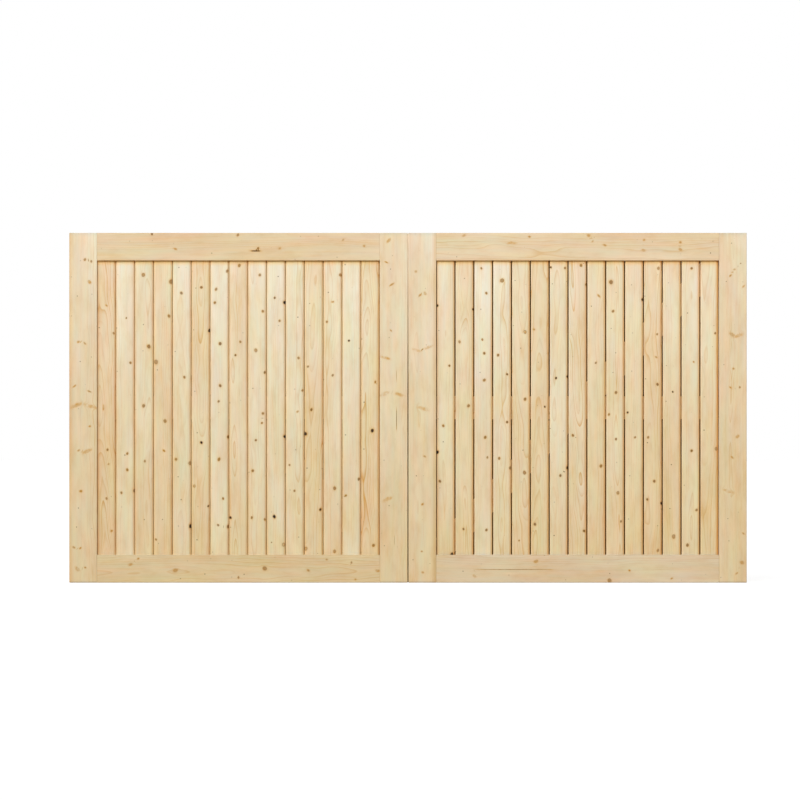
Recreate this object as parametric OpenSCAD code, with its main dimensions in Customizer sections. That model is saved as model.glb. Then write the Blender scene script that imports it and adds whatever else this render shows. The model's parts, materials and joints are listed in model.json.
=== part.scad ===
// A pair of framed, ledged and braced timber gate leaves on hook and band hinges.
// The front faces -Y, +Z is up, and the origin is at the bottom centre of the closed pair.
// Each leaf is drawn from its hinge edge, x = 0, to its meeting edge, and is then put in place.

/* [Pair] */
// Width of one leaf
leaf_w = 1770; // [1300:5:2000]
// Height of a leaf
leaf_h = 1830; // [1300:5:2100]
// Gap between the leaves where they meet
meeting_gap = 5; // [4:1:12]

/* [Frame] */
// Thickness of the stiles and of the top and bottom rails
frame_t = 45; // [43:1:56]
// Width of a stile
stile_w = 145; // [120:1:160]
// Width of the top and bottom rails
rail_w = 145; // [120:1:160]
// Thickness of the tenons on the top and bottom rails
tenon_t = 15; // [12:1:18]
// Length of those tenons
tenon_len = 100; // [60:1:110]
// Set-in of a tenon from each edge of its rail
tenon_shoulder = 25; // [20:1:30]
// Play round a tenon in its mortise
mortise_play = 0.2; // [0.1:0.1:0.4]
// Glue space at the bottom of a mortise
mortise_end = 2; // [1:0.5:4]

/* [Boards] */
// Number of upright boards in a leaf
board_count = 15; // [13:1:17]
// Thickness of a board
board_t = 16; // [14:1:18]
// Open joint between boards in the left leaf
left_joint = 2; // [1:0.5:4]
// Open joint between boards in the right leaf
right_joint = 6.5; // [1:0.5:8]
// Width of the broad rounding on a board's front right arris
broad_w = 12; // [6:0.5:16]
// Depth of that rounding
broad_d = 7; // [3:0.5:10]
// Width and depth of the small rounding on its front left arris
small_arris = 4; // [2:0.5:6]
// Shape of both: 1 is a round, 2 a flat chamfer
arris_shape = 1.3; // [1:0.1:2]
// Length of board inside the groove of a rail
board_tuck = 12; // [8:1:15]
// Depth of a rail's groove past the board's end
groove_end = 3; // [1:0.5:4]
// Play of a board in the groove, on each face
groove_play = 0.25; // [0.1:0.05:0.5]

/* [Ledge and braces] */
// Thickness of the mid rail and the braces
ledge_t = 20; // [18:1:22]
// Width of the mid rail
mid_w = 120; // [90:1:140]
// Width of the braces
brace_w = 120; // [90:1:140]
// Thickness of the mid rail's tenons
mid_tenon_t = 12; // [8:1:14]
// Length of the mid rail's tenons
mid_tenon_len = 60; // [40:1:90]
// Set-in of those tenons from each edge of the mid rail
mid_shoulder = 20; // [10:1:30]

/* [Board screws] */
// Radius of a board screw's shank
screw_r = 2; // [1.5:0.25:3]
// Radius of its countersunk head
screw_head_r = 4.2; // [3.5:0.1:5.5]
// Straight rim of the head
screw_rim = 0.5; // [0.3:0.1:1]
// Depth of the head's cone
screw_head_h = 2.5; // [2:0.5:4]
// Length of screw inside the board
screw_bite = 12; // [8:0.5:13]
// Play round every screw
screw_play = 0.1; // [0.05:0.05:0.3]
// Distance of a brace screw from the edge of the mid rail, at least
screw_clear = 40; // [20:1:60]

/* [Hinge bands] */
// Length of a band from its pin to its tip
band_len = 450; // [350:5:600]
// Height of a band and of its eye
band_h = 50; // [40:1:60]
// Thickness of the strap
band_t = 6; // [5:0.5:8]
// Outer radius of the rolled eye
eye_r = 16; // [15:0.5:20]
// Number of coach screws in a band
band_screw_count = 4; // [2:1:6]
// Distance from the pin to the first coach screw
band_first = 90; // [80:1:110]
// Distance from the last coach screw to the tip
band_last = 40; // [30:1:60]
// Radius of a coach screw's shank
coach_r = 4.9; // [3.5:0.1:6]
// Depth of a coach screw in the timber
coach_bite = 34; // [25:1:38]
// Radius across the corners of its hexagon head
coach_head_r = 9.8; // [8:0.1:12]
// Height of its head
coach_head_h = 7; // [5:0.5:9]

/* [Hooks] */
// Radius of the hinge pin
pin_r = 9.5; // [7:0.5:10]
// Play between the pin and the eye, in radius
pin_play = 0.06; // [0.02:0.01:0.1]
// Length of pin past the eye
pin_over = 8; // [4:1:15]
// Chamfer on the end of the pin
pin_tip = 2; // [1:0.5:4]
// Running gap between the eye and the hook's collar
eye_gap = 0.3; // [0.2:0.1:1]
// Radius of the collar under the eye
collar_r = 14; // [11:0.5:15]
// Height of the collar and its arm
collar_h = 16; // [10:1:25]
// Thickness of the plate
plate_t = 6; // [5:0.5:10]
// Gap between the eye and the plate
plate_gap = 3; // [2:0.5:10]
// Reach of the plate in front of the pin
plate_front = 14; // [12:1:15]
// Reach of the plate behind the pin
plate_rear = 60; // [56:1:70]
// Height of the plate
plate_h = 120; // [100:1:160]
// Radius of the plate's corners
plate_corner = 6; // [2:0.5:10]
// Radius of a fixing hole in the plate
fix_r = 4.5; // [3:0.25:6]
// Distance from the pin to the nearer row of fixing holes
fix_back = 26; // [24:1:28]
// Spacing of the fixing holes from front to back
fix_y = 24; // [20:1:24]
// Spacing of the fixing holes up the plate
fix_z = 70; // [50:1:80]

/* [Hidden] */
$fn = 48;
eps = 1;
pair_w = 2 * leaf_w + meeting_gap;
// Overall depth, from the front of the frame to the back edge of a hook plate
depth = frame_t + eye_r + plate_rear;
front_y = -depth / 2;
back_y = front_y + frame_t;
// The outer faces of the hook plates are flush with the hinge edges of the leaves
pin_x = eye_r + plate_gap + plate_t;
pin_y = back_y + eye_r;

// The boards lie so that the mid rail and the braces end flush with the back of the frame
board_y = back_y - ledge_t - board_t;
ledge_y = back_y - ledge_t;
open_w = leaf_w - 2 * stile_w;
open_h = leaf_h - 2 * rail_w;
mid_z = leaf_h / 2;
pitch = open_w / board_count;
brace_angle = atan2(open_h, open_w);
top_band_z = leaf_h - rail_w / 2;
bottom_band_z = rail_w / 2;
band_step = (band_len - band_first - band_last) / (band_screw_count - 1);

SIDES = ["left", "right"];
LEAF_PIECES = [
    "hanging_stile", "meeting_stile", "top_rail", "bottom_rail", "mid_rail",
    "upper_brace", "lower_brace", "board_screws",
    "top_band", "bottom_band", "band_screws", "top_hook", "bottom_hook"
];

// Middle of board i, counted from the hinge side
function board_x(i) = stile_w + (i - 0.5) * pitch;

// Height of the braces' centre line at x: it falls from the hinge side to the meeting side
function brace_z(x) = rail_w + open_h * (leaf_w - stile_w - x) / open_w;

function joint_gap(side) = side == "left" ? left_joint : right_joint;

// Where a board's broad rounding is: 1 towards the meeting side, -1 towards the hinge side
function broad_side(side) = side == "left" ? 1 : -1;

// A quarter of a superellipse, from the board's edge to its face, measured in from the corner
function arris(w, d) = [
    for (t = [0:22.5:90])
        [w * (1 - pow(cos(t), arris_shape)), d * (1 - pow(sin(t), arris_shape))]
];

// Places of the board screws on the back: two in the mid rail and one in a brace for each board
screw_spots = [
    for (i = [1:board_count]) for (up = [-1, 1]) [board_x(i), mid_z + up * mid_w / 4],
    for (i = [1:board_count])
        if (abs(brace_z(board_x(i)) - mid_z) > mid_w / 2 + screw_clear)
            [board_x(i), brace_z(board_x(i))]
];

// Places of the coach screws along a band, from the hinge edge
coach_x = [for (i = [0:band_screw_count - 1]) pin_x + band_first + i * band_step];

// Puts a leaf that is drawn from its hinge edge on its side of the pair
module hang(side) {
    if (side == "left")
        translate([-pair_w / 2, 0, 0]) children();
    else
        mirror([1, 0, 0]) translate([-pair_w / 2, 0, 0]) children();
}

// A block of timber from its low corner and its size
module timber(x, y, z, w, t, h) {
    translate([x, y, z]) cube([w, t, h]);
}

// An outline in x and z, given thickness t from y towards the back
module slab(y, t) {
    translate([0, y + t, 0]) rotate([90, 0, 0]) linear_extrude(t) children();
}

// One board screw, pointing towards the front, or its hole with play and open at the back
module board_screw(spot, play, open) {
    tip = ledge_t + screw_bite + play;
    translate([spot.x, back_y, spot.y]) rotate([90, 0, 0]) rotate_extrude()
        polygon([
            [0, -open],
            [screw_head_r + play, -open],
            [screw_head_r + play, screw_rim],
            [screw_r + play, screw_rim + screw_head_h],
            [screw_r + play, tip],
            [0, tip]
        ]);
}

module board_screw_holes() {
    for (spot = screw_spots) board_screw(spot, screw_play, eps);
}

module coach_hole(x, z) {
    translate([x, back_y + eps, z]) rotate([90, 0, 0])
        cylinder(r = coach_r + screw_play, h = eps + coach_bite + screw_play);
}

module coach_holes() {
    for (x = coach_x) for (z = [top_band_z, bottom_band_z]) coach_hole(x, z);
}

// The tenon of a top or bottom rail on the hinge side, or its mortise with play
module rail_tenon(z, play, more) {
    timber(stile_w - tenon_len - more, front_y + (frame_t - tenon_t) / 2 - play,
        z + tenon_shoulder - play,
        tenon_len + more + eps, tenon_t + 2 * play, rail_w - 2 * tenon_shoulder + 2 * play);
}

// The tenon of the mid rail on the hinge side, or its mortise with play
module mid_tenon(play, more) {
    timber(stile_w - mid_tenon_len - more, ledge_y - play,
        mid_z - mid_w / 2 + mid_shoulder - play,
        mid_tenon_len + more + eps, mid_tenon_t + 2 * play, mid_w - 2 * mid_shoulder + 2 * play);
}

// Turns what is drawn for the hinge side end for end, to the meeting side
module meeting_end() {
    translate([leaf_w, 0, 0]) mirror([1, 0, 0]) children();
}

module stile() {
    difference() {
        timber(0, front_y, 0, stile_w, frame_t, leaf_h);
        rail_tenon(0, mortise_play, mortise_end);
        rail_tenon(leaf_h - rail_w, mortise_play, mortise_end);
        mid_tenon(mortise_play, mortise_end);
    }
}

module hanging_stile() {
    color("#e4cda9") difference() {
        stile();
        coach_holes();
    }
}

module meeting_stile() {
    color("#e3d0aa") meeting_end() stile();
}

// A top or bottom rail with its tenons and a groove along its inner edge
module rail(z, groove_z) {
    difference() {
        union() {
            timber(stile_w, front_y, z, open_w, frame_t, rail_w);
            rail_tenon(z, 0, 0);
            meeting_end() rail_tenon(z, 0, 0);
        }
        timber(stile_w - eps, board_y - groove_play, groove_z,
            open_w + 2 * eps, board_t + 2 * groove_play, board_tuck + groove_end + eps);
        coach_holes();
    }
}

module top_rail() {
    color("#e4ccaa") rail(leaf_h - rail_w, leaf_h - rail_w - eps);
}

module bottom_rail() {
    color("#d9be94") rail(0, rail_w - board_tuck - groove_end);
}

module mid_rail() {
    color("#d8ba8c") difference() {
        union() {
            timber(stile_w, ledge_y, mid_z - mid_w / 2, open_w, ledge_t, mid_w);
            mid_tenon(0, 0);
            meeting_end() mid_tenon(0, 0);
        }
        board_screw_holes();
    }
}

// A brace on the diagonal of the opening, cut to the space between two heights
module brace(low_z, high_z) {
    color("#d8ba8c") difference() {
        slab(ledge_y, ledge_t) intersection() {
            translate([leaf_w / 2, mid_z]) rotate(-brace_angle)
                square([open_w + open_h, brace_w], center = true);
            translate([stile_w, low_z]) square([open_w, high_z - low_z]);
        }
        board_screw_holes();
    }
}

module upper_brace() {
    brace(mid_z + mid_w / 2, leaf_h - rail_w);
}

module lower_brace() {
    brace(rail_w, mid_z - mid_w / 2);
}

// A board with its front arrises rounded, the broad one at side broad, its ends in the rails' grooves
module board(i, gap, broad) {
    w = pitch - gap;
    color("#e6d2a8") difference() {
        translate([board_x(i), board_y, rail_w - board_tuck])
            linear_extrude(open_h + 2 * board_tuck)
                polygon(concat(
                    [[-broad * w / 2, board_t]],
                    [for (p = arris(small_arris, small_arris)) [broad * (p.x - w / 2), p.y]],
                    [for (k = [4:-1:0]) let (p = arris(broad_w, broad_d)[k]) [broad * (w / 2 - p.x), p.y]],
                    [[broad * w / 2, board_t]]
                ));
        board_screw_holes();
    }
}

module board_screws() {
    color("#b9b7ac") for (spot = screw_spots) board_screw(spot, 0, 0);
}

// A strap with a round tip and a rolled eye that runs on the hook's pin
module band(z) {
    color("#9aa0a6") difference() {
        union() {
            translate([pin_x, pin_y, z - band_h / 2]) cylinder(r = eye_r, h = band_h);
            slab(back_y, band_t) {
                translate([pin_x, z - band_h / 2]) square([band_len - band_h / 2, band_h]);
                translate([pin_x + band_len - band_h / 2, z]) circle(d = band_h);
            }
        }
        translate([pin_x, pin_y, z - band_h / 2 - eps])
            cylinder(r = pin_r + pin_play, h = band_h + 2 * eps);
        for (x = coach_x) translate([x, back_y + band_t + eps, z]) rotate([90, 0, 0])
            cylinder(r = coach_r + screw_play, h = band_t + 2 * eps);
    }
}

module top_band() {
    band(top_band_z);
}

module bottom_band() {
    band(bottom_band_z);
}

module band_screws() {
    color("#8d9398") for (x = coach_x) for (z = [top_band_z, bottom_band_z])
        translate([x, back_y + band_t, z]) {
            rotate([90, 0, 0]) cylinder(r = coach_r, h = band_t + coach_bite);
            rotate([-90, 0, 0]) cylinder(r = coach_head_r, h = coach_head_h, $fn = 6);
        }
}

// Outline of the hook's plate in y and z, with round corners
module plate_outline() {
    long = plate_front + plate_rear;
    for (inset = [[plate_corner, 0], [0, plate_corner]])
        translate([inset.x - plate_front, inset.y - plate_h / 2])
            square([long - 2 * inset.x, plate_h - 2 * inset.y]);
    for (y = [plate_corner - plate_front, plate_rear - plate_corner])
        for (z = [-1, 1])
            translate([y, z * (plate_h / 2 - plate_corner)]) circle(r = plate_corner);
}

// A hook whose pin points up: plate, arm, collar and pin, drawn from the pin at the band's middle
module hook() {
    collar_z = -band_h / 2 - eye_gap - collar_h;
    plate_x = -eye_r - plate_gap;
    translate([plate_x - plate_t, 0, 0]) rotate([90, 0, 90]) linear_extrude(plate_t)
        difference() {
            plate_outline();
            for (y = [fix_back, fix_back + fix_y]) for (z = [-1, 1])
                translate([y, z * fix_z / 2]) circle(r = fix_r);
        }
    translate([plate_x - eps, -collar_r, collar_z]) cube([eps - plate_x, 2 * collar_r, collar_h]);
    translate([0, 0, collar_z]) cylinder(r = collar_r, h = collar_h);
    translate([0, 0, collar_z]) cylinder(r = pin_r, h = band_h / 2 + pin_over - collar_z);
    translate([0, 0, band_h / 2 + pin_over]) cylinder(r1 = pin_r, r2 = pin_r - pin_tip, h = pin_tip);
}

module bottom_hook() {
    color("#9aa0a6") translate([pin_x, pin_y, bottom_band_z]) hook();
}

// The top hook points down, so that the leaf can't be lifted off
module top_hook() {
    color("#9aa0a6") translate([pin_x, pin_y, top_band_z]) mirror([0, 0, 1]) hook();
}

for (side = SIDES) hang(side) {
    hanging_stile();
    meeting_stile();
    top_rail();
    bottom_rail();
    mid_rail();
    upper_brace();
    lower_brace();
    board_screws();
    top_band();
    bottom_band();
    band_screws();
    top_hook();
    bottom_hook();
    for (i = [1:board_count])
        board(i, joint_gap(side), broad_side(side));
}
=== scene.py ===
import json
import math
import re

import bmesh
import bpy
import numpy as np
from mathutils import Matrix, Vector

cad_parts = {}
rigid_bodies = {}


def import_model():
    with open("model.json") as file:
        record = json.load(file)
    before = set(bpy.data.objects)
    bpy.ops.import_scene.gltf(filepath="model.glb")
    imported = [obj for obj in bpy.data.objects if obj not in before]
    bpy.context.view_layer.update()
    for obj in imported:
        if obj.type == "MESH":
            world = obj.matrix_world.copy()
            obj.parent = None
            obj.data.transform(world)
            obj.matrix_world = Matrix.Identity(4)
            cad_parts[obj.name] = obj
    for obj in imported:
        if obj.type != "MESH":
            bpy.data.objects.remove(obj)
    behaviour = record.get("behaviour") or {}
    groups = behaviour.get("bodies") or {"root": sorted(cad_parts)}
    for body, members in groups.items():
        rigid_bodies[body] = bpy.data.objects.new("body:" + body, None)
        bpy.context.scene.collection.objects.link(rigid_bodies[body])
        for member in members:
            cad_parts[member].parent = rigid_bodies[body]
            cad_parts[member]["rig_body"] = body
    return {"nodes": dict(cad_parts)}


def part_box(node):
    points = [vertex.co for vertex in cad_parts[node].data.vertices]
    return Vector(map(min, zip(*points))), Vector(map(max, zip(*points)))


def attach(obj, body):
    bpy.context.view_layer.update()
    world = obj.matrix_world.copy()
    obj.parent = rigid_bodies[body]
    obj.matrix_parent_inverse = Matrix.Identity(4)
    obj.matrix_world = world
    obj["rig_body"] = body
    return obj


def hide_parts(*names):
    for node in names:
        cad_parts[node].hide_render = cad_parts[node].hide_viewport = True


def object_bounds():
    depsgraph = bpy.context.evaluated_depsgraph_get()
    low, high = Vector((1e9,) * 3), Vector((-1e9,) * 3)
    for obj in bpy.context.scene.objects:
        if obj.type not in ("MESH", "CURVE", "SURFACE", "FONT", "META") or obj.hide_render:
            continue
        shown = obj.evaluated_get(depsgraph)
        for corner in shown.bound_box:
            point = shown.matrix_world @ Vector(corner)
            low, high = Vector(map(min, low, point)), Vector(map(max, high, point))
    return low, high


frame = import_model()
cad_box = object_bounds()


# The four stiles: uprights of pale, untreated spruce, planed all round, their sharp edges eased.
# Two to a leaf, the full height of it. The rails are tenoned into their inner edges.
def section_across(width, thick, arrises, grid):
    """The outline of a timber cut across the grain, from the middle of its front left corner along its
    front, and how many points its front and its side have. Each corner is a quarter of a superellipse: the
    corner less its reach times one minus the cosine or sine raised to a power, where 1 makes a round and 2
    a flat chamfer. arrises gives (reach across, reach in depth, power) for front left, front right and both
    back corners. Points between corners are evenly spaced, about grid apart."""
    turn = np.radians(np.linspace(0, 90, 5))
    # The middle point of a corner's five belongs both to its front or back and to its side
    shared = 3

    def corner(side, face, shape):
        reach_u, reach_d, power = shape
        u = side * (width / 2 - reach_u * (1 - np.cos(turn) ** power))
        d = face * (thick / 2 - reach_d * (1 - np.sin(turn) ** power))
        return np.c_[u, d]

    def between(a, b, size):
        count = max(1, round(size / grid)) | 1
        return a + (b - a) * np.linspace(0, 1, count + 2)[1:-1, None]

    front_left, front_right, back = arrises
    fl, fr = corner(-1, -1, front_left), corner(1, -1, front_right)[::-1]
    br, bl = corner(1, 1, back), corner(-1, 1, back)[::-1]
    face, edge = between(fl[-1], fr[0], width), between(fr[-1], br[0], thick)
    rear, other = between(br[-1], bl[0], width), between(bl[-1], fl[0], thick)
    outline = np.vstack([fl[shared - 1:], face, fr, edge, br, rear, bl, other, fl[:shared - 1]])
    return outline, len(face) + 2 * shared, len(edge) + 2 * shared


def end_face(ring, rim):
    """The inner points of a timber's end, by blending its rim: the two opposite pairs of sides are each
    joined by straight lines, the two results are added, and the corners' own blend is taken away."""
    p = np.linspace(0, 1, rim.shape[0])[:, None, None]
    q = np.linspace(0, 1, rim.shape[1])[None, :, None]
    edge = ring[rim]
    lines = (1 - q) * edge[:, :1] + q * edge[:, -1:] + (1 - p) * edge[:1] + p * edge[-1:]
    corners = (1 - p) * (1 - q) * edge[:1, :1] + p * (1 - q) * edge[-1:, :1]
    corners = corners + (1 - p) * q * edge[:1, -1:] + p * q * edge[-1:, -1:]
    return (lines - corners)[1:-1, 1:-1].reshape(-1, 3)


def surface(name, points, faces, material):
    """A mesh object from arrays of points and faces. A point's normal is the sum of the normals of its
    faces, each as long as the face is large, so that broad faces stay flat beside narrow rounded edges."""
    mesh = bpy.data.meshes.new(name)
    mesh.from_pydata(points.tolist(), [], faces.tolist())
    a, b, c, d = (points[faces[:, i]] for i in range(4))
    leaning = np.cross(c - a, d - b)
    normals = np.zeros_like(points)
    for i in range(4):
        np.add.at(normals, faces[:, i], leaning)
    normals /= np.linalg.norm(normals, axis=1, keepdims=True)
    mesh.polygons.foreach_set("use_smooth", np.ones(len(faces), bool))
    mesh.normals_split_custom_set_from_vertices(normals)
    mesh.materials.append(material)
    piece = bpy.data.objects.new(name, mesh)
    bpy.context.scene.collection.objects.link(piece)
    return piece


def carry(piece, kind, name, values):
    """Writes one value for each point of a piece, which its material reads by that name."""
    slots = piece.data.attributes.new(name, kind, "POINT").data
    slots.foreach_set("color" if kind == "FLOAT_COLOR" else "vector", values.astype(np.float32).ravel())


def linear(colour):
    """A colour of 0 to 255 as it looks, turned into amounts of light."""
    c = np.array(colour, float) / 255
    return np.where(c <= 0.04045, c / 12.92, ((c + 0.055) / 1.055) ** 2.4)


def marks_at(text, place):
    """Reads marks written as across,along and a letter, in millimetres, and puts each on its timber."""
    found = re.findall(r"(-?\d+),(-?\d+)(\w)", text)
    return [(*place(float(a) / 1000, float(b) / 1000), kind) for a, b, kind in found]


# For each kind of mark its half width and half height in mm, how dark, how solid and how ringed it is, and
# how far it slants at most. n and N are knots, p pin knots, b and B dead black knots, r and R red knots, g
# and G pale ringed knots, f and F faint knots, s a smear, k and K short strokes, w and W long flares, c and
# C upright drying checks, and h and l level ones.
mark_kinds = {
    "n": (5.8, 6.8, 0.52, 0.92, 0.35, 0.25), "N": (8.5, 10.0, 0.38, 0.9, 0.5, 0.2),
    "p": (3.0, 3.6, 0.75, 0.85, 0.0, 0.2), "b": (5.4, 6.4, 0.97, 1.0, 0.5, 0.25),
    "B": (7.6, 9.0, 0.97, 1.0, 0.6, 0.25), "r": (6.2, 7.2, 0.4, 0.9, 0.3, 0.3),
    "R": (9.0, 10.5, 0.36, 0.9, 0.5, 0.3), "g": (6.0, 7.5, 0.15, 0.4, 0.7, 0.1),
    "G": (9.0, 11.5, 0.12, 0.4, 0.8, 0.1), "f": (5.5, 4.6, 0.45, 0.38, 0.0, 0.7),
    "F": (9.5, 8.0, 0.3, 0.32, 0.1, 0.6), "s": (4.0, 14.0, 0.2, 0.3, 0.0, 0.1),
    "k": (9.0, 3.4, 0.6, 0.42, 0.0, -0.35), "K": (9.5, 4.0, 0.45, 0.42, 0.0, 0.6),
    "w": (25.0, 7.0, 0.1, 0.1, 0.0, -0.25), "W": (22.0, 8.0, 0.2, 0.2, 0.0, 0.35),
    "c": (0.9, 28.0, 0.8, 0.5, 0.0, 0.0), "C": (1.5, 60.0, 0.85, 0.8, 0.0, 0.0),
    "h": (30.0, 3.6, 0.97, 0.95, 0.0, 0.06), "l": (200.0, 1.3, 0.75, 0.6, 0.0, 0.0),
}
# These slant as far as they say, where the others slant by chance, and these always show in full
set_slant, in_full = "kKwWhl", "bBcChl"
# The shades that planed spruce has from one timber to the next, as they look from 0 to 255
tones = {
    "milk": (234, 220, 192), "pale": (233, 217, 187), "cream": (232, 214, 182), "straw": (231, 211, 176),
    "honey": (231, 207, 171), "tan": (229, 204, 166), "sawn": (222, 195, 151), "linen": (229, 210, 178),
    "flax": (228, 207, 173), "oat": (221, 196, 158), "wheat": (226, 206, 173), "chalk": (227, 210, 187),
}


def timber(
    node, foot, head, width, front, back, material, look, marks, arrises,
    stains_and_shade=(), arris_shade=(0.0, 0.0), cuts=None,
):
    """One straight timber in place of a CAD node. Its outline across the grain is carried from foot to head,
    both (x, z) points on its centre line. Every point of the outline has its own start and end along the
    grain, so that an end may be mitred, and the ends are drawn in by a quarter round. Each point carries
    where it lies in the tree (across and in depth from the pith, which drifts along the timber), where it
    lies from the nearest mark in units of that mark's size, and its colour. look is (tone, contrast).
    stains_and_shade are (edge, reach, sharpness, loss of red, green and blue): each is gone at its reach
    from its edge, and the sharper it is the sooner it is full; some are stains, most are painted shade, and a
    loss below 0 is painted light. arris_shade is the share of light that the left and right front arrises
    lose, as painted shade, or as painted highlight where it is below 0."""
    chance = np.random.default_rng(sum(map(ord, node)))
    foot, head = np.array(foot), np.array(head)
    length = np.hypot(*(head - foot))
    along = (head - foot) / length
    across = np.array([along[1], -along[0]])
    thick = back - front
    outline, points_wide, points_deep = section_across(width, thick, arrises, grid=0.009)
    u, d = outline.T
    begin, end = cuts(u) if cuts else (np.zeros_like(u), np.full_like(u, length))

    # Rings of points from one end to the other, 10 mm apart, and close together where the ends are rounded
    edge, spacing = 0.0012, 0.010
    steps = round(length / spacing)
    t = np.r_[0, 0, np.linspace(0, 1, steps + 1), 1, 1][:, None]
    ease = np.r_[0, edge / 3, np.full(steps + 1, edge), edge / 3, 0][:, None]
    inset = edge - np.sqrt(edge**2 - (edge - ease) ** 2)
    s = begin * (1 - t) + end * t + ease * (1 - 2 * t)
    rings = np.stack([u * (1 - 2 * inset / width), d * (1 - 2 * inset / thick), s], axis=2)
    size = len(u)
    rim = np.zeros((points_wide, points_deep), int)
    rim[:, 0] = np.arange(points_wide)
    rim[-1, :] = points_wide - 1 + np.arange(points_deep)
    rim[:, -1] = points_wide + points_deep - 2 + np.arange(points_wide)[::-1]
    rim[0, 1:] = size - np.arange(1, points_deep)
    inner = (points_wide - 2) * (points_deep - 2)
    local = np.vstack([rings.reshape(-1, 3), end_face(rings[0], rim), end_face(rings[-1], rim)])
    u, d, s = local.T

    # Faces round the sides, and one sheet of them over each end
    i, j = np.meshgrid(np.arange(len(t) - 1), np.arange(size), indexing="ij")
    i, j, after = i.ravel() * size, j.ravel(), (j.ravel() + 1) % size
    sides = np.stack([i + j, i + after, i + size + after, i + size + j], axis=1)
    sheets = []
    for ring, first, turned in ((0, len(t) * size, False), (len(t) - 1, len(t) * size + inner, True)):
        sheet = rim + ring * size
        sheet[1:-1, 1:-1] = first + np.arange(inner).reshape(points_wide - 2, points_deep - 2)
        quads = np.stack([sheet[:-1, :-1], sheet[:-1, 1:], sheet[1:, 1:], sheet[1:, :-1]], axis=2)
        quads = quads.reshape(-1, 4)
        sheets.append(quads[:, ::-1] if turned else quads)
    faces = np.vstack([sides, *sheets])

    x = foot[0] + s * along[0] + u * across[0]
    z = foot[1] + s * along[1] + u * across[1]
    points = np.c_[x, (front + back) / 2 + d, z]
    piece = surface(node + "_timber", points, faces, material)

    # Place in the tree: the pith is off to one side or behind, and wanders a little along the timber
    tone, contrast = look
    flat_sawn = chance.random() < 0.3 + 0.4 * contrast
    lean = chance.uniform(-0.018, 0.018, 2) * contrast**2
    if flat_sawn:
        pith_u = chance.uniform(-0.03, 0.03)
    else:
        pith_u = chance.choice([-1, 1]) * chance.uniform(0.07, 0.13)
    pith_d = chance.choice([-1, 1]) * (chance.uniform(0.02, 0.05) + abs(lean[1]) * length / 2)
    bend = 0.006 * np.sin(s * chance.uniform(2, 5) + chance.uniform(0, 6))
    far = s - length / 2
    tree = np.c_[u - pith_u - lean[0] * far - bend, d - pith_d - lean[1] * far, s + chance.uniform(0, 60)]
    carry(piece, "FLOAT_VECTOR", "grain", tree)

    # The nearest mark, and how near: 1 inside it, 0 from 20 mm away. Far from all marks a point is set nine
    # times a mark's size off, where nothing of one shows
    fade = 0.02
    reach = np.full(len(u), 1.0)
    knot = np.tile([9.0, 9.0, 0.0], (len(u), 1))
    knot_look = np.tile([0.0, 0.0, 0.0, 0.5], (len(u), 1))
    for mark_x, mark_z, kind in marks:
        wide, high, dark, solid, ringed, slant = mark_kinds[kind]
        wide, high = np.array([wide, high]) / 1000 * chance.uniform(0.75, 1.15) * chance.uniform(0.9, 1.1, 2)
        offset = np.array([mark_x, mark_z]) - foot
        beside, above = u - offset @ across, s - offset @ along
        above -= beside * slant * (1 if kind in set_slant else chance.uniform(-1, 1))
        if abs(along[1]) < 0.5:
            wide, high = high, wide
        gap = np.hypot(np.maximum(abs(beside) - wide, 0), np.maximum(abs(above) - high, 0))
        near = gap < reach
        reach = np.where(near, gap, reach)
        knot[near] = np.c_[beside / wide, above / high, 1 - np.minimum(gap / fade, 1)][near]
        shown = 1 if kind in in_full else chance.uniform(0.65, 1)
        knot_look[near] = [max(dark + chance.uniform(-0.2, 0.12), 0), solid * shown, ringed, wide * 100]
    carry(piece, "FLOAT_VECTOR", "knot", knot)
    carry(piece, "FLOAT_COLOR", "knot_look", knot_look)

    # Colour: warmer and a little deeper low down, painted shade for the dimmer, warmer light near the floor,
    # and stained or painted with shade towards some edges. The front arrises lose light as painted shade, or
    # gain it as painted highlight; an arris is nearest both its face and its side half way round. End grain
    # is darker.
    low = np.clip(1 - z / cad_box[1].z, 0, 1)[:, None]
    shade = linear(tones[tone]) * (1 - low * np.array([0.0, 0.07, 0.24]))
    from_edge = {"left": u + width / 2, "right": width / 2 - u, "head": length - s, "foot": s}
    for edge_name, tint_reach, sharpness, loss in stains_and_shade:
        share = np.clip(sharpness * (1 - from_edge[edge_name] / tint_reach), 0, 1)[:, None]
        shade *= 1 - share * np.array(loss)
    round_reach = arrises[0][0]
    # Painted shade on the front arrises, and painted highlight where the share is below 0
    off_corner = width / 2 - np.abs(u) + thick / 2 + d
    painted_arris = np.where(u < 0, *arris_shade) * np.clip((round_reach - off_corner) / (0.4 * round_reach), 0, 1)
    shade *= 1 - painted_arris[:, None]
    if cuts is None:
        end_grain = np.minimum(s - begin.min(), end.max() - s) < edge * 0.9
        shade[end_grain] *= [0.86, 0.78, 0.66]
    carry(piece, "FLOAT_COLOR", "tone", np.c_[shade, np.full(len(s), contrast)])

    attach(piece, frame["nodes"][node]["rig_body"])
    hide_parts(node)
    return piece


def put(tree, kind, feeds, **settings):
    """Adds one shader node. feeds gives its inputs, by name or number, a value or another node's output;
    settings are its own switches."""
    node = tree.nodes.new("ShaderNode" + kind)
    for name, value in settings.items():
        setattr(node, name, value)
    for name, value in feeds.items():
        if isinstance(value, bpy.types.NodeSocket):
            tree.links.new(value, node.inputs[name])
        else:
            node.inputs[name].default_value = value
    return node


def reckon(tree, operation, a, b=0.0, c=0.0):
    """A sum of one to three numbers or outputs, as a shader node's output."""
    return put(tree, "Math", {0: a, 1: b, 2: c}, operation=operation).outputs[0]


def blended(tree, share, a, b):
    """Colour a going over to colour b by a share, which may run below 0 or above 1."""
    feeds = {0: share, 6: a, 7: b}
    return put(tree, "Mix", feeds, data_type="RGBA", clamp_factor=False).outputs[2]


def tinted(tree, a, b):
    """Two colours multiplied."""
    return put(tree, "VectorMath", {0: a, 1: b}, operation="MULTIPLY").outputs[0]


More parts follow.
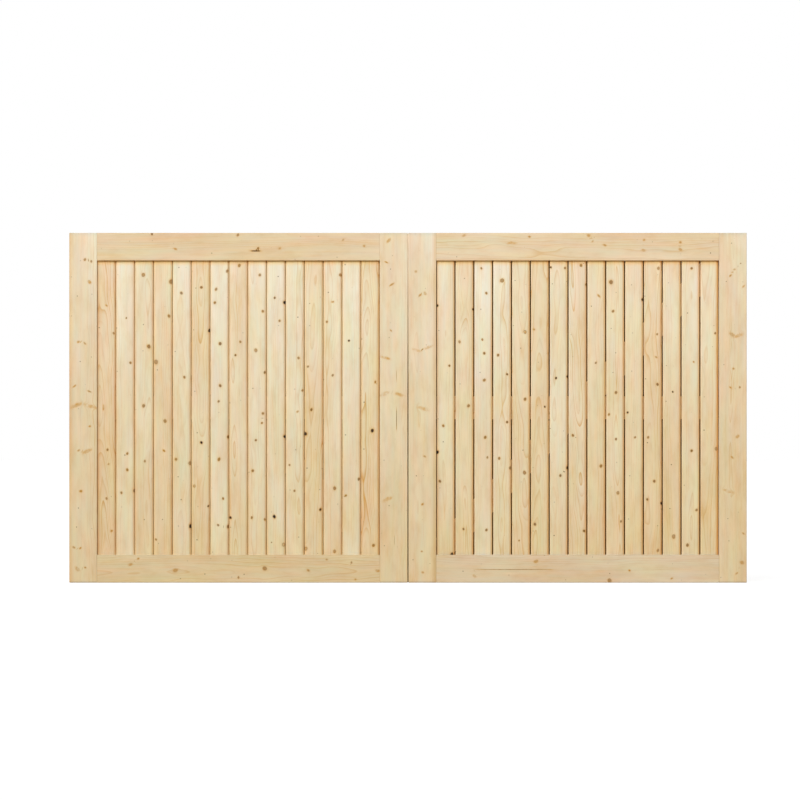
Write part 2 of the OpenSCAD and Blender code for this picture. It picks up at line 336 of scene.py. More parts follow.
def rising(tree, value, low, high, at_low, at_high):
    """A smooth step from at_low to at_high, while a value goes from low to high."""
    feeds = {"Value": value, "From Min": low, "From Max": high, "To Min": at_low, "To Max": at_high}
    return put(tree, "MapRange", feeds, interpolation_type="SMOOTHSTEP").outputs[0]


def softwood(name, ring, rough, bump, sawn=0.0):
    """Softwood as it grew. The distance from the pith, pushed aside round each knot and shaken by slow
    noise, over the width of a year's ring gives the ring's number; its fraction darkens to the late wood's
    line and drops, and some years are much stronger than others. Noise drawn out along the grain makes
    fibres, streaks and flames, and shifts the hue. Inside a knot's ellipse the wood goes over to the
    knot's colour, with a darker rim and a stained halo. ring is a year's width in metres, rough the wood's
    roughness, bump how strong its relief is, and sawn how deep the saw's strokes are beside the fibres."""
    material = bpy.data.materials.new(name)
    material.use_nodes = True
    tree = material.node_tree
    shader = tree.nodes["Principled BSDF"]
    grain = put(tree, "Attribute", {}, attribute_name="grain").outputs["Vector"]
    knot = put(tree, "Attribute", {}, attribute_name="knot").outputs["Vector"]
    knot_look = put(tree, "Attribute", {}, attribute_name="knot_look")
    tone = put(tree, "Attribute", {}, attribute_name="tone")
    x, y, z = put(tree, "SeparateXYZ", {0: grain}).outputs
    beside, above, near = put(tree, "SeparateXYZ", {0: knot}).outputs
    dark, solid, ringed = put(tree, "SeparateColor", {0: knot_look.outputs["Color"]}).outputs

    def streaked(place, across, along, detail):
        stretched = put(tree, "VectorMath", {0: place, 1: (across, across, along)}, operation="MULTIPLY")
        feeds = {"Vector": stretched.outputs[0], "Scale": 1.0, "Detail": detail, "Roughness": 0.6}
        return reckon(tree, "SUBTRACT", put(tree, "TexNoise", feeds).outputs[0], 0.5)

    # Rings, bent round the knots: beside a knot they are pushed aside by up to 0.8 of its half width, which
    # comes in centimetres
    beside_2 = reckon(tree, "MULTIPLY", beside, beside)
    above_2 = reckon(tree, "MULTIPLY", above, above)
    spread = reckon(tree, "MULTIPLY_ADD", above_2, -0.055, reckon(tree, "MULTIPLY", beside_2, -0.2))
    pull = reckon(tree, "MULTIPLY", reckon(tree, "EXPONENT", spread), near)
    knot_size = reckon(tree, "MULTIPLY", knot_look.outputs["Alpha"], 0.0085)
    push = reckon(tree, "MULTIPLY", reckon(tree, "MULTIPLY", beside, knot_size), pull)
    moved = reckon(tree, "SUBTRACT", x, push)
    bent = put(tree, "CombineXYZ", {0: moved, 1: y, 2: z}).outputs[0]
    radius = reckon(tree, "SQRT", reckon(tree, "MULTIPLY_ADD", moved, moved, reckon(tree, "MULTIPLY", y, y)))
    wander = reckon(tree, "MULTIPLY", streaked(bent, 13, 3.2, 1), 0.03 / ring)
    age = reckon(tree, "MULTIPLY_ADD", radius, 1 / ring, wander)
    year = put(tree, "TexWhiteNoise", {"W": reckon(tree, "FLOOR", age)}, noise_dimensions="1D").outputs[0]
    late_ramp = put(tree, "ValToRGB", {0: reckon(tree, "FRACT", age)})
    stops = late_ramp.color_ramp.elements
    stops[0].color, stops[1].color, stops[1].position = (0, 0, 0, 1), (0, 0, 0, 1), 1.0
    for place, level in ((0.55, 0.10), (0.82, 0.6), (0.91, 1.0), (0.97, 0.6)):
        stops.new(place).color = (level, level, level, 1)
    strength = reckon(tree, "MULTIPLY_ADD", reckon(tree, "POWER", year, 2.0), 1.1, 0.15)
    late = reckon(tree, "MULTIPLY", late_ramp.outputs[0], strength)
    late = reckon(tree, "MULTIPLY", late, tone.outputs["Alpha"])

    fibre, streak = streaked(grain, 800, 16, 3), streaked(bent, 150, 5, 2)
    flame, drift = reckon(tree, "MAXIMUM", streaked(bent, 30, 9, 3), -0.05), streaked(grain, 7, 1.6, 2)
    deep = reckon(tree, "MULTIPLY_ADD", late, 0.75, -0.12)
    for part, share in ((fibre, 0.2), (streak, 0.25), (flame, 1.15), (drift, 1.3)):
        deep = reckon(tree, "MULTIPLY_ADD", part, share, deep)
    late_tint, golden, rosy = (0.86, 0.67, 0.43), (1.2, 1.03, 0.84), (1.06, 0.89, 1.08)
    wood = blended(tree, deep, tone.outputs["Color"], tinted(tree, tone.outputs["Color"], late_tint))
    for part, tint in ((streaked(bent, 34, 5, 2), golden), (streaked(grain, 15, 4, 1), rosy)):
        wood = blended(tree, part, wood, tinted(tree, wood, tint))

    # Flecks: small dark pins, scattered a few to a board
    flat = put(tree, "CombineXYZ", {0: x, 1: z}).outputs[0]
    scattered = put(tree, "TexVoronoi", {"Vector": flat, "Scale": 9.0}, voronoi_dimensions="2D")
    pin, luck = put(tree, "SeparateColor", {0: scattered.outputs["Color"]}).outputs[:2]
    off_pin = reckon(tree, "DIVIDE", scattered.outputs["Distance"], reckon(tree, "ADD", pin, 0.3))
    pin = rising(tree, off_pin, 0.012, 0.030, 1.0, 0.0)
    pin = reckon(tree, "MULTIPLY", pin, rising(tree, luck, 0.1, 1.0, 0.0, 0.9))
    pin_brown = (0.19, 0.10, 0.03, 1)
    wood = blended(tree, pin, wood, pin_brown)

    # Knots: a stained halo that dies away from the rim, a heart whose depth of colour is the mark's own with
    # faint rings, and a dark rim
    uneven = reckon(tree, "MULTIPLY", streaked(grain, 170, 150, 2), 0.55)
    reach = reckon(tree, "ADD", reckon(tree, "SQRT", reckon(tree, "ADD", beside_2, above_2)), uneven)
    stain = reckon(tree, "EXPONENT", reckon(tree, "MULTIPLY_ADD", reach, -1.9, 1.9))
    strong = reckon(tree, "MINIMUM", reckon(tree, "MULTIPLY_ADD", dark, 1.2, 0.42), 0.9)
    blotch = reckon(tree, "MULTIPLY_ADD", streaked(grain, 55, 38, 2), 2.5, strong)
    stain, blotch = reckon(tree, "MINIMUM", stain, 1.0), reckon(tree, "MULTIPLY", near, blotch)
    stain = reckon(tree, "MULTIPLY", stain, blotch)
    halo_tint, rim_brown = (0.85, 0.60, 0.27), (0.15, 0.075, 0.028, 1)
    wood = blended(tree, stain, wood, tinted(tree, tone.outputs["Color"], halo_tint))
    shown = reckon(tree, "MINIMUM", reckon(tree, "MULTIPLY", near, 6.0), 1.0)
    inside = reckon(tree, "MULTIPLY", rising(tree, reach, 0.75, 1.15, 1.0, 0.0), shown)
    turns = reckon(tree, "MULTIPLY", reckon(tree, "SINE", reckon(tree, "MULTIPLY", reach, 15.0)), 0.05)
    heart_ramp = put(tree, "ValToRGB", {0: reckon(tree, "ADD", dark, turns)})
    stops = heart_ramp.color_ramp.elements
    stops[0].color, stops[1].color = (0.60, 0.36, 0.14, 1), (0.014, 0.006, 0.001, 1)
    stops.new(0.3).color = (0.32, 0.165, 0.055, 1)
    stops.new(0.6).color = (0.125, 0.063, 0.016, 1)
    wood = blended(tree, reckon(tree, "MULTIPLY", inside, solid), wood, heart_ramp.outputs[0])
    off_rim = reckon(tree, "ABSOLUTE", reckon(tree, "SUBTRACT", reach, 0.95))
    rim = reckon(tree, "MULTIPLY", rising(tree, off_rim, 0.0, 0.3, 0.8, 0.0), ringed)
    wood = blended(tree, reckon(tree, "MULTIPLY", rim, shown), wood, rim_brown)
    tree.links.new(wood, shader.inputs["Base Color"])

    # In relief: the fibres, the late wood standing proud, and across sawn wood the strokes of the saw
    height = reckon(tree, "MULTIPLY_ADD", late, 0.25, reckon(tree, "MULTIPLY", fibre, 0.8))
    if sawn:
        shaken = reckon(tree, "MULTIPLY", streak, 9.0)
        stroke = reckon(tree, "SINE", reckon(tree, "MULTIPLY_ADD", z, 2600.0, shaken))
        height = reckon(tree, "MULTIPLY_ADD", stroke, sawn, height)
    bumped = put(tree, "Bump", {"Height": height, "Strength": bump, "Distance": 0.0006})
    tree.links.new(bumped.outputs[0], shader.inputs["Normal"])
    tree.links.new(rising(tree, fibre, -0.5, 0.5, rough + 0.12, rough - 0.08), shader.inputs["Roughness"])
    shader.inputs["Specular IOR Level"].default_value = 0.3
    return material


stile_wood = softwood("planed_stile_wood", ring=0.0050, rough=0.6, bump=0.1)
eased = 3 * [(0.002, 0.002, 1.0)]
stile_marks = {
    "left_hanging_stile": "9,1690r 43,1681n 33,1573F -25,1260f 9,1252f -45,1028K 34,1000k -36,927W 41,922w"
    " 35,818f -23,692f 22,688W -12,478f -49,184f -15,180f -28,70F 11,79f",
    "left_meeting_stile": "-25,1790F -38,1676k -10,1560K -14,1319f -45,1177w -46,988W 30,984w 15,1085c"
    " 15,856C 4,220c -32,437W",
    "right_meeting_stile": "-34,1628f -14,1503f 14,1513F -28,1216w 30,1231W 1,1220p 5,910w 12,660f 1,410f"
    " -3,163f 2,53f",
    "right_hanging_stile": "41,1670p 8,1638f -13,1606f 55,1550f -5,1298F 29,1293W 3,1119f 36,1022n -13,1021f"
    " 24,765F -3,655f -22,478w 55,257f 48,105F 20,48f",
}
stile_looks = {
    "left_hanging_stile": ("linen", 0.8),
    "left_meeting_stile": ("linen", 0.6),
    "right_meeting_stile": ("linen", 0.6),
    "right_hanging_stile": ("flax", 0.9),
}
# Duller at both ends, where water has stood, and deeper in colour along two edges; along the right meeting
# stile's right edge this is painted shade, standing in for the shade of a broad rounding
stile_ends = [("head", 0.016, 1, (0.17, 0.10, 0.03)), ("foot", 0.010, 1, (0.25, 0.25, 0.20))]
stile_stains_and_shade = {
    "left_hanging_stile": [("left", 0.024, 1, (0.04, 0.20, 0.38))],
    "right_meeting_stile": [("right", 0.020, 3, (0.08, 0.17, 0.30))],
}
# Painted shade on the stiles' front arrises, and painted highlight where the share is below 0
stile_arris_shade = {
    "left_hanging_stile": (0.22, 0.22), "left_meeting_stile": (-0.08, 0.0),
    "right_meeting_stile": (0.0, 0.22), "right_hanging_stile": (0.22, 0.30),
}
for stile, text in stile_marks.items():
    low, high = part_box(stile)
    centre = (low.x + high.x) / 2
    timber(
        stile, (centre, low.z), (centre, high.z), high.x - low.x, low.y, high.y, stile_wood,
        stile_looks[stile], marks_at(text, lambda a, b: (centre + a, b)), eased,
        stains_and_shade=stile_ends + stile_stains_and_shade.get(stile, []), arris_shade=stile_arris_shade[stile],
    )


# The top and bottom rails, two to a leaf, of the same planed spruce as the stiles and flush with them.
# They are cut square between the stiles, and their tenons and board grooves are out of sight.
rail_wood = softwood("planed_rail_wood", ring=0.0050, rough=0.6, bump=0.1)
rail_marks = {
    "left_top_rail": "-1340,67n -1217,-12f -890,62n -797,-22h -785,-8n -672,-9f -340,36f -230,4f",
    "left_bottom_rail": "-1452,23F -1412,53f -1217,-9F -887,-46n -750,2N -521,-9f -296,33n -275,-56f -160,-9F"
    " -425,49f",
    "right_top_rail": "292,58F 540,20w 636,53f 945,58F 966,30f 1030,8f 1235,36f 1232,-19F 1425,23f 1425,-14F",
    "right_bottom_rail": "555,-4l 670,39F 348,-38F 1159,-9f 1055,-62N 1380,-51f",
}
rail_looks = {
    "left_top_rail": ("oat", 0.9),
    "left_bottom_rail": ("wheat", 1.0),
    "right_top_rail": ("oat", 0.9),
    "right_bottom_rail": ("chalk", 0.9),
}
for rail, text in rail_marks.items():
    side = rail.split("_")[0]
    low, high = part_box(rail)
    # From the inner edge of one stile to that of the other
    edges = [corner.x for end in ("hanging", "meeting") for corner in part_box(f"{side}_{end}_stile")]
    left_end, right_end = sorted(edges)[1:3]
    centre = (low.z + high.z) / 2
    timber(
        rail, (right_end, centre), (left_end, centre), high.z - low.z, low.y, high.y, rail_wood,
        rail_looks[rail], marks_at(text, lambda a, b: (a, centre + b)), eased,
        # Painted shade: the top rail's lower arris deeper and more orange, for the warm shade in the recess
        # below it
        stains_and_shade=[("left", 0.004, 1, (0.0, 0.15, 0.35))] if "top" in rail else (),
        # Painted shade on the front arrises, strongest on the bottom rails' upper arris, where it dims a
        # highlight
        arris_shade=(0.22, 0.30) if "top" in rail else (0.22, 0.60),
    )


# The mid rails and braces behind the boards: rough-sawn spruce, 120 x 20 mm, screwed to every board.
# Each brace falls from the hinge side to the meeting side and is cut to fit the frame and the mid rail.
ledge_wood = softwood("sawn_ledge_wood", ring=0.0045, rough=0.72, bump=0.5, sawn=0.35)
sawn_arrises = 3 * [(0.001, 0.001, 1.0)]
brace_width = 0.12
# Knots on a mid rail, from the hinge side and up from its middle, and on a brace, from its foot, in metres
mid_rail_knots = ((0.31, 0.02, "n"), (0.88, -0.03, "b"))
brace_knots = ((0.45, "n"), (0.8, "r"), (1.45, "n"), (1.8, "b"))
for side, outward in (("left", -1), ("right", 1)):
    low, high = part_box(f"{side}_mid_rail")
    hanging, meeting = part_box(f"{side}_hanging_stile"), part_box(f"{side}_meeting_stile")
    hinge_x = hanging[1].x if side == "left" else hanging[0].x
    meeting_x = meeting[0].x if side == "left" else meeting[1].x
    sill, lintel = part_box(f"{side}_bottom_rail")[1].z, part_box(f"{side}_top_rail")[0].z
    middle = (low.z + high.z) / 2
    timber(
        f"{side}_mid_rail", (max(hinge_x, meeting_x), middle), (min(hinge_x, meeting_x), middle),
        high.z - low.z, low.y, high.y, ledge_wood, ("sawn", 1.1),
        [(hinge_x - outward * at, middle + up, kind) for at, up, kind in mid_rail_knots],
        sawn_arrises,
    )
    foot, head = np.array([meeting_x, sill]), np.array([hinge_x, lintel])
    run = (head - foot) / np.hypot(*(head - foot))
    beside = np.array([run[1], -run[0]])

    def brace_ends(u, below, above):
        """Where a line at u across the brace enters and leaves the opening between two heights."""
        rise = ((np.array([below, above]) - foot[1])[:, None] - u * beside[1]) / run[1]
        ends_x = (np.array([meeting_x, hinge_x]) - foot[0])[:, None]
        pass_x = np.sort((ends_x - u * beside[0]) / run[0], axis=0)
        return np.maximum(rise[0], pass_x[0]), np.minimum(rise[1], pass_x[1])

    for part, below, above in (("lower", sill, low.z), ("upper", high.z, lintel)):
        timber(
            f"{side}_{part}_brace", foot, head, brace_width, low.y, high.y, ledge_wood, ("sawn", 1.1),
            [(*(foot + run * at), kind) for at, kind in brace_knots],
            sawn_arrises, cuts=lambda u: brace_ends(u, below, above),
        )


# Fifteen upright boards to a leaf, 16 mm thick, with a broad rounding down one front edge and a small one
# down the other. They stand in the grooves of the rails and are screwed to the ledges from behind.
board_wood = softwood("planed_board_wood", ring=0.0055, rough=0.58, bump=0.1)
board_arrises = ((0.004, 0.004, 1.3), (0.012, 0.007, 1.3), (0.001, 0.001, 1.0))
# Painted shade: deeper in colour down the broad rounding, where the boards turn from the light, and where
# the boards come to the rails and the stiles; some of these also paint warm light or a highlight
painted_joint_shade = {"left": (0.13, 0.31, 0.50), "right": (0.0, 0.25, 0.52)}
# Painted highlight and painted shade on the left edges of the left leaf's boards, beside the joints
painted_joint_edge_light = [("left", 0.012, 3, (-0.09, -0.03, 0.03)), ("left", 0.007, 1.5, (0.08, 0.12, 0.20))]
# Painted shade below the top rail's recess, with a little painted warm light in the red
painted_shade_below_rail = ("head", 0.040, 1, (-0.15, 0.26, 0.92))
# Painted shade: a thin dark line where the boards meet the bottom rail
painted_shade_at_sill = {"left": ("foot", 0.024, 2, (0.20, 0.13, 0.0)), "right": ("foot", 0.024, 2, (0.27, 0.17, -0.06))}
# Painted shade on the boards beside the stiles, where the stiles shade them
painted_shade_beside_stile = {
    ("left", 1): ("left", 0.018, 1, (0.0, 0.14, 0.28)),
    ("left", 15): ("right", 0.020, 1, (0.12, 0.20, 0.36)),
    ("right", 15): ("left", 0.018, 1, (0.0, 0.14, 0.28)),
    ("right", 1): ("right", 0.020, 1, (0.14, 0.30, 0.56)),
}
# Counted from the hinge side, as the nodes are; across from the board's middle, then height, in mm
board_marks = {
    "left": {
        1: "0,1450f 37,1305n -16,915s 5,695n 10,620f 0,440n 26,270f",
        2: "5,1385p 26,1150n 10,675n 10,590n -21,470n 47,480n",
        3: "-5,1610N 24,1235N -3,925N 3,635n",
        4: "42,1575N 31,1395n -37,1155N 10,845N 5,690f -37,225n",
        5: "-3,1515r 13,1075n -31,645n 42,625N 45,295B",
        6: "3,1545n 47,1320B 3,733b -34,505g 39,400b",
        7: "39,1630n -18,1535n -25,1465n 3,1250r 3,1030n -5,948n -3,645R 45,762n 18,440n -8,300n 45,293N",
        8: "5,1660n 10,1260n -16,1190n -42,340B",
        9: "13,1610n 29,1420n -8,1215R 39,1100n 29,885n 24,835n -8,745n -24,585n -29,340n 39,330n",
        10: "-8,1490n 45,1465B 18,1370r 45,764B -10,345B -24,210p 39,198g",
        11: "18,1175n 39,1005r 13,895f -29,615n -3,480n",
        12: "-31,1130n -13,905n -45,779B 34,382b -42,177g",
        13: "40,1610N 0,1470f -31,1365n 0,1085r 10,493N 10,163R",
        14: "-14,1266b 38,541n -30,455n",
        15: "26,1050n 10,795B 16,195n",
    },
    "right": {
        15: "-43,1450b 20,1135n -12,820n -43,682B -30,530n 33,147B",
        14: "45,1430b -26,1260n 21,925n -5,280n",
        13: "-10,1645n 16,1515n -5,1272n 5,1200n 5,1060n 10,760n 21,655n 16,275n",
        12: "0,1581R -21,1190n 26,1090n 26,840n -16,650n 42,600r",
        11: "21,1312G 21,960n 18,575N -10,220p",
        10: "-31,1325f 26,920b -26,305n",
        9: "-41,1650b 33,1646n -14,1070b 48,1078B 9,560n 48,602B",
        8: "18,1660n 45,1560n -24,770n 34,270n",
        7: "13,1500f -3,1150r 24,610n",
        6: "-22,1572N -12,1420n 4,995n -33,880n 4,750n 14,470N 30,320n",
        5: "45,1481B -34,890b 5,760n",
        4: "28,1645r 22,1300r 17,1180f 24,1037r -25,760r 7,530n -30,435n 45,414b 27,168r",
        3: "5,998b 10,241N",
        2: "5,1645r 16,1155f 5,690r 31,380n -17,196n",
        1: "30,1305n 35,700N",
    },
}
# From the hinge side: the tone of each board and how strong its figure is
board_looks = {
    "left": "honey 1.5, pale 0.8, cream 0.7, straw 1.1, milk 0.7, straw 1.2, milk 0.5, cream 1.2, pale 0.8,"
    " milk 0.9, milk 0.8, straw 1.2, cream 0.8, milk 0.6, straw 1.6",
    "right": "straw 1.0, cream 0.8, straw 0.9, tan 1.3, straw 0.9, cream 1.0, straw 1.0, cream 1.5, pale 0.7,"
    " straw 1.2, straw 1.1, milk 1.0, milk 0.8, straw 1.0, cream 0.7",
}
board_centres = {}
for side, boards in board_marks.items():
    looks = [look.split() for look in board_looks[side].split(", ")]
    for number, text in sorted(boards.items()):
        tone, contrast = looks[number - 1]
        node = f"{side}_board_{number}"
        low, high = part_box(node)
        centre = board_centres[side, number] = (low.x + high.x) / 2
        stains_and_shade = [painted_shade_below_rail, painted_shade_at_sill[side], ("right", 0.014, 1, painted_joint_shade[side])]
        if (side, number) in painted_shade_beside_stile:
            stains_and_shade.append(painted_shade_beside_stile[side, number])
        if side == "left" and number > 1:
            stains_and_shade += painted_joint_edge_light
        timber(
            node, (centre, low.z), (centre, high.z), high.x - low.x, low.y, high.y, board_wood,
            (tone, float(contrast)), marks_at(text, lambda a, b: (centre + a, b)), board_arrises, stains_and_shade,
        )


# The screws that hold the boards, 44 to a leaf, driven from behind through the mid rail and braces.
# Zinc plated, countersunk to within 0.3 mm of the wood, each with a cross recess for the driver.
def zinc_plate(name, colour, rough, scale):
    """Plated steel: a metal whose colour and roughness drift with noise in the piece's own place, and which
    is darkened by each point's tone, painted shade where the screws use it."""
    material = bpy.data.materials.new(name)
    material.use_nodes = True
    tree = material.node_tree
    shader = tree.nodes["Principled BSDF"]
    place = put(tree, "TexCoord", {}).outputs["Object"]
    drift = put(tree, "TexNoise", {"Vector": place, "Scale": scale, "Detail": 4.0}).outputs[0]
    plating = blended(tree, drift, (*(c * 0.75 for c in colour), 1), (*colour, 1))
    tone = put(tree, "Attribute", {}, attribute_name="tone").outputs["Color"]
    tree.links.new(tinted(tree, plating, tone), shader.inputs["Base Color"])
    tree.links.new(rising(tree, drift, 0.3, 0.7, rough - 0.08, rough + 0.12), shader.inputs["Roughness"])
    shader.inputs["Metallic"].default_value = 0.9
    return material


zinc = zinc_plate("zinc_screw_finish", (0.74, 0.71, 0.58), 0.36, 900.0)
points_round = 16
turn = np.linspace(0, 2 * np.pi, points_round, endpoint=False)
# Radius and depth of each ring of the screw, from the middle of the head to the tip, in mm. The recess has
# a cross's four arms, 0.3 mm deep
ring_r = np.array([0.15, 1.1, 2.1, 2.9, 3.9, 4.2, 4.2, 2.0, 2.0, 0.15])
ring_y = np.array([0.3, 0.3, 0.0, 0.0, 0.0, 0.2, 0.5, 3.0, 30.5, 32.0])
arm = (np.arange(points_round) % 4 == 0)[None, :] * ((ring_r > 1.5) & (ring_r < 2.5))[:, None]
ring_depth = ring_y[:, None] + 0.3 * arm * (ring_y == 0)[:, None]
recess = ((ring_depth > 0.25) & (ring_r[:, None] < 2.5)).ravel()
across, up = ring_r[:, None] * np.cos(turn), ring_r[:, None] * np.sin(turn)
screw = np.stack([across, -ring_depth, up], axis=2).reshape(-1, 3) / 1000
k, j = np.meshgrid(np.arange(len(ring_r) - 1), np.arange(points_round), indexing="ij")
k, j, after = k.ravel() * points_round, j.ravel(), (j.ravel() + 1) % points_round
skin = np.stack([k + j, k + after, k + points_round + after, k + points_round + j], axis=1)
# Strips of quads close the ring at either end
i = np.arange(points_round // 2 - 1)
lid = np.stack([i, i + 1, points_round - 2 - i, points_round - 1 - i], axis=1)
skin = np.vstack([skin, lid[:, ::-1], lid + points_round * (len(ring_r) - 1)])
proud, painted_recess_shade = 0.0003, 0.12
for side in ("left", "right"):
    low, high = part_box(f"{side}_mid_rail")
    middle, offset = (low.z + high.z) / 2, (high.z - low.z) / 4
    sill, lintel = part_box(f"{side}_bottom_rail")[1].z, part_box(f"{side}_top_rail")[0].z
    numbers = sorted(board_marks[side])
    spots = [(board_centres[side, number], middle + up) for number in numbers for up in (-offset, offset)]
    for number in numbers:
        # The brace falls by the opening's height over its boards, and gives way to the mid rail
        z = lintel - (lintel - sill) * (number - 0.5) / len(numbers)
        if abs(z - middle) > 0.1:
            spots.append((board_centres[side, number], z))
    set_at = np.array([(x, high.y + proud, z) for x, z in spots])
    points = (screw[None] + set_at[:, None]).reshape(-1, 3)
    faces = (skin[None] + (np.arange(len(spots)) * len(screw))[:, None, None]).reshape(-1, 4)
    screws = surface(f"{side}_board_screws_zinc", points, faces, zinc)
    # Painted shade: the cross recesses are darkened to a fraction of the plating's colour
    bright = np.tile(np.where(recess, painted_recess_shade, 1.0), len(spots))[:, None]
    carry(screws, "FLOAT_COLOR", "tone", np.c_[bright, bright, bright, np.ones_like(bright)])
    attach(screws, f"{side}_leaf")
    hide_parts(f"{side}_board_screws")


# The hinges: a steel band with a rolled eye on the back of each rail, held by four coach screws, and a
# hook for each band, its pin welded to a plate that is bolted to the gatepost. All hot-dip galvanised.
def galvanised(name):
    """Hot-dip galvanised steel: flat grains of zinc, each a shade lighter or darker and rougher or smoother
    than the next, from cells of noise, under a cloudy dull bloom."""
    material = bpy.data.materials.new(name)
    material.use_nodes = True
    tree = material.node_tree
    shader = tree.nodes["Principled BSDF"]
    place = put(tree, "TexCoord", {}).outputs["Object"]
    grains = put(tree, "TexVoronoi", {"Vector": place, "Scale": 95.0})
    flake = put(tree, "SeparateColor", {0: grains.outputs["Color"]}).outputs[0]
    bloom = put(tree, "TexNoise", {"Vector": place, "Scale": 30.0, "Detail": 5.0}).outputs[0]
    fine = put(tree, "TexNoise", {"Vector": place, "Scale": 900.0, "Detail": 2.0}).outputs[0]
    metal = blended(tree, flake, (0.40, 0.42, 0.44, 1), (0.60, 0.62, 0.64, 1))
    metal = blended(tree, rising(tree, bloom, 0.45, 0.7, 0.0, 0.6), metal, (0.50, 0.51, 0.51, 1))
    tree.links.new(metal, shader.inputs["Base Color"])
    dull = reckon(tree, "MULTIPLY_ADD", flake, 0.16, reckon(tree, "MULTIPLY_ADD", bloom, 0.3, 0.24))
    tree.links.new(dull, shader.inputs["Roughness"])
    height = reckon(tree, "MULTIPLY_ADD", fine, 0.5, bloom)
    bumped = put(tree, "Bump", {"Height": height, "Strength": 0.2, "Distance": 0.0004})
    tree.links.new(bumped.outputs[0], shader.inputs["Normal"])
    shader.inputs["Metallic"].default_value = 0.85
    return material


def forged(node, material, rounding):
    """A copy of a CAD node with its loose triangles merged, its flat faces made whole and its sharp edges
    rounded by a bevel."""
    source = frame["nodes"][node]
    mesh = source.data.copy()
    work = bmesh.new()
    work.from_mesh(mesh)
    bmesh.ops.remove_doubles(work, verts=work.verts, dist=1e-6)
    bmesh.ops.dissolve_limit(work, angle_limit=math.radians(1), verts=work.verts, edges=work.edges)
    work.to_mesh(mesh)
    work.free()
    mesh.materials.clear()
    mesh.materials.append(material)
    mesh.polygons.foreach_set("use_smooth", np.ones(len(mesh.polygons), bool))
    piece = bpy.data.objects.new(node + "_steel", mesh)
    bpy.context.scene.collection.objects.link(piece)
    bevel = piece.modifiers.new("rounding", "BEVEL")
    bevel.width, bevel.segments, bevel.limit_method = rounding, 2, "ANGLE"
    bevel.angle_limit = math.radians(35)
    bevel.harden_normals = True
    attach(piece, source["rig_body"])
    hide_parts(node)
    return piece


galvanised_steel = galvanised("hot_dip_galvanised")
hinge_roundings = {
    "top_band": 0.0008, "bottom_band": 0.0008, "band_screws": 0.0007,
    "top_hook": 0.0008, "bottom_hook": 0.0008,
}
for side in ("left", "right"):
    for part, rounding in hinge_roundings.items():
        forged(f"{side}_{part}", galvanised_steel, rounding)


# Behind each leaf a dark card, set with the studio and not part of the gate: the joints are open and dark
# shows behind them, and the card paints that dark as painted shade with a faint glow. Only the camera sees
# it, and only from the front.
def camera_only(tree, seen, unseen, kinds, facing=False):
    """Shader seen for camera rays (and the other kinds named), shader unseen for the rest. With facing, the
    back of the face counts as unseen."""
    rays = put(tree, "LightPath", {})
    share = rays.outputs["Is Camera Ray"]
    for kind in kinds:
        share = reckon(tree, "MAXIMUM", share, rays.outputs[kind])
    if facing:
        behind = put(tree, "NewGeometry", {}).outputs["Backfacing"]
        share = reckon(tree, "MULTIPLY", share, reckon(tree, "SUBTRACT", 1.0, behind))
    return put(tree, "MixShader", {0: share, 1: unseen, 2: seen}).outputs[0]


dark_card = bpy.data.materials.new("dark_card")
dark_card.use_nodes = True
tree = dark_card.node_tree
tree.nodes.remove(tree.nodes["Principled BSDF"])
tone = put(tree, "Attribute", {}, attribute_name="tone").outputs["Color"]
shade = put(tree, "Emission", {"Color": tone}).outputs[0]
clear = put(tree, "BsdfTransparent", {}).outputs[0]
tree.links.new(camera_only(tree, shade, clear, (), facing=True), tree.nodes["Material Output"].inputs[0])
card_dark, gap_light, gap_lighter = (0.055, 0.024, 0.005, 1), (0.60, 0.44, 0.28, 1), (0.88, 0.68, 0.46, 1)
half_gap = 0.0025
for side, inward in (("left", 1), ("right", -1)):
    low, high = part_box(f"{side}_hanging_stile")
    hinge_x = low.x if side == "left" else high.x
    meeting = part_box(f"{side}_meeting_stile")
    meeting_x = meeting[1].x if side == "left" else meeting[0].x
    # One sheet behind the panel, and one across half of the gap between the leaves, made lighter towards the
    # top by painted light
    x = (hinge_x + inward * 0.005, meeting_x - inward * 0.02, meeting_x + inward * half_gap)
    y, rows = high.y + 0.0003, (low.z + 0.001, 1.02, 1.5, high.z - 0.001)
    corners = [(x[0], y, rows[0]), (x[1], y, rows[0]), (x[1], y, rows[-1]), (x[0], y, rows[-1])]
    corners += [(x[column], y, row) for row in rows for column in (1, 2)]
    quads = np.array([[0, 1, 2, 3]] + [[k, k + 1, k + 3, k + 2] for k in (4, 6, 8)])
    if side == "right":
        quads = quads[:, ::-1]
    card = surface(f"{side}_dark_card", np.array(corners), quads, dark_card)
    carry(card, "FLOAT_COLOR", "tone", np.array([card_dark] * 8 + [gap_light] * 2 + [gap_lighter] * 2))
    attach(card, f"{side}_leaf")


# The studio: a plain pale floor, a soft lamp like a large window high on the left, a long soft lamp
# overhead in front, an even white surround, and the camera far off and square to the gate.
studio_floor = bpy.data.materials.new("studio_floor")
studio_floor.use_nodes = True
tree = studio_floor.node_tree
tree.nodes.remove(tree.nodes["Principled BSDF"])
matt = put(tree, "BsdfDiffuse", {"Color": (0.3, 0.3, 0.3, 1)}).outputs[0]
glow = put(tree, "Emission", {"Color": (1, 1, 1, 1), "Strength": 0.79}).outputs[0]
lit = put(tree, "AddShader", {0: matt, 1: glow}).outputs[0]
tree.links.new(camera_only(tree, lit, matt, ("Is Glossy Ray",)), tree.nodes["Material Output"].inputs[0])
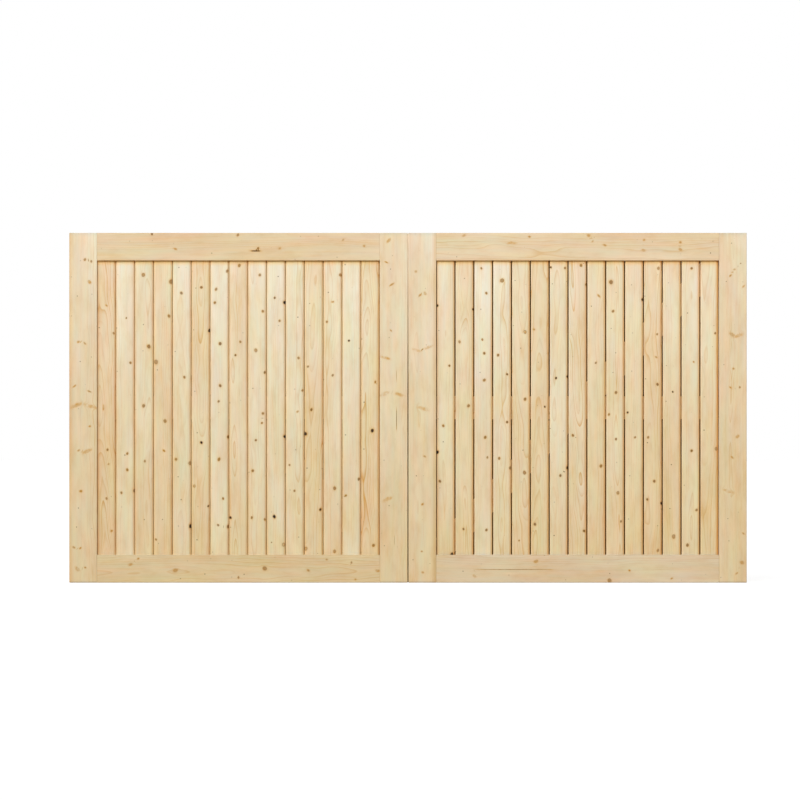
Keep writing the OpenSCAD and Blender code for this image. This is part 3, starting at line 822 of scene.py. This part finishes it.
# Far to every side, and 2 mm below the gate's foot
far, below = 40.0, -0.002
corners = np.array([(-far, -far, below), (far, -far, below), (far, far, below), (-far, far, below)])
floor = surface("floor", corners, np.array([[0, 1, 2, 3]]), studio_floor)

world = bpy.context.scene.world = bpy.data.worlds.new("surround")
world.use_nodes = True
tree = world.node_tree
even = put(tree, "Background", {"Color": (1, 1, 1, 1), "Strength": 0.275}).outputs[0]
white = put(tree, "Background", {"Color": (1, 1, 1, 1), "Strength": 1.0}).outputs[0]
tree.links.new(camera_only(tree, white, even, ("Is Glossy Ray", "Is Transmission Ray")),
               tree.nodes["World Output"].inputs[0])


def aim(thing, place, target):
    """Puts a lamp or the camera at a place, its -Z axis towards a target."""
    thing.location = place
    direction = Vector(target) - Vector(place)
    thing.rotation_euler = direction.to_track_quat("-Z", "Y").to_euler()


window = bpy.data.lights.new("window", "SUN")
window.energy, window.angle = 1.76, math.radians(42)
window_lamp = bpy.data.objects.new("window", window)
aim(window_lamp, (-5.0, -6.0, 9.2), (0, 0, 0.9))
overhead = bpy.data.lights.new("overhead", "AREA")
overhead.shape, overhead.size, overhead.size_y, overhead.energy = "RECTANGLE", 16.0, 1.2, 280.0
overhead_lamp = bpy.data.objects.new("overhead", overhead)
aim(overhead_lamp, (-0.4, -3.0, 4.6), (0, 0, 1.1))
rear = bpy.data.lights.new("rear", "SUN")
rear.energy, rear.angle = 0.9, math.radians(60)
rear_lamp = bpy.data.objects.new("rear", rear)
aim(rear_lamp, (2.5, 6.0, 5.5), (0, 0, 0.9))
for lamp in (window_lamp, overhead_lamp, rear_lamp):
    bpy.context.scene.collection.objects.link(lamp)

camera = bpy.data.cameras.new("camera")
camera.sensor_width, camera.lens, camera.clip_end = 36.0, 172.0, 200.0
eye = bpy.data.objects.new("camera", camera)
bpy.context.scene.collection.objects.link(eye)
# 20 m in front of the gate's face; one pixel of 800 is 5.24 mm there
aim(eye, (-0.0419, -20.0605, 0.9555), (-0.0419, 0, 0.9555))
bpy.context.scene.camera = eye
bpy.context.scene.view_settings.view_transform = "Standard"
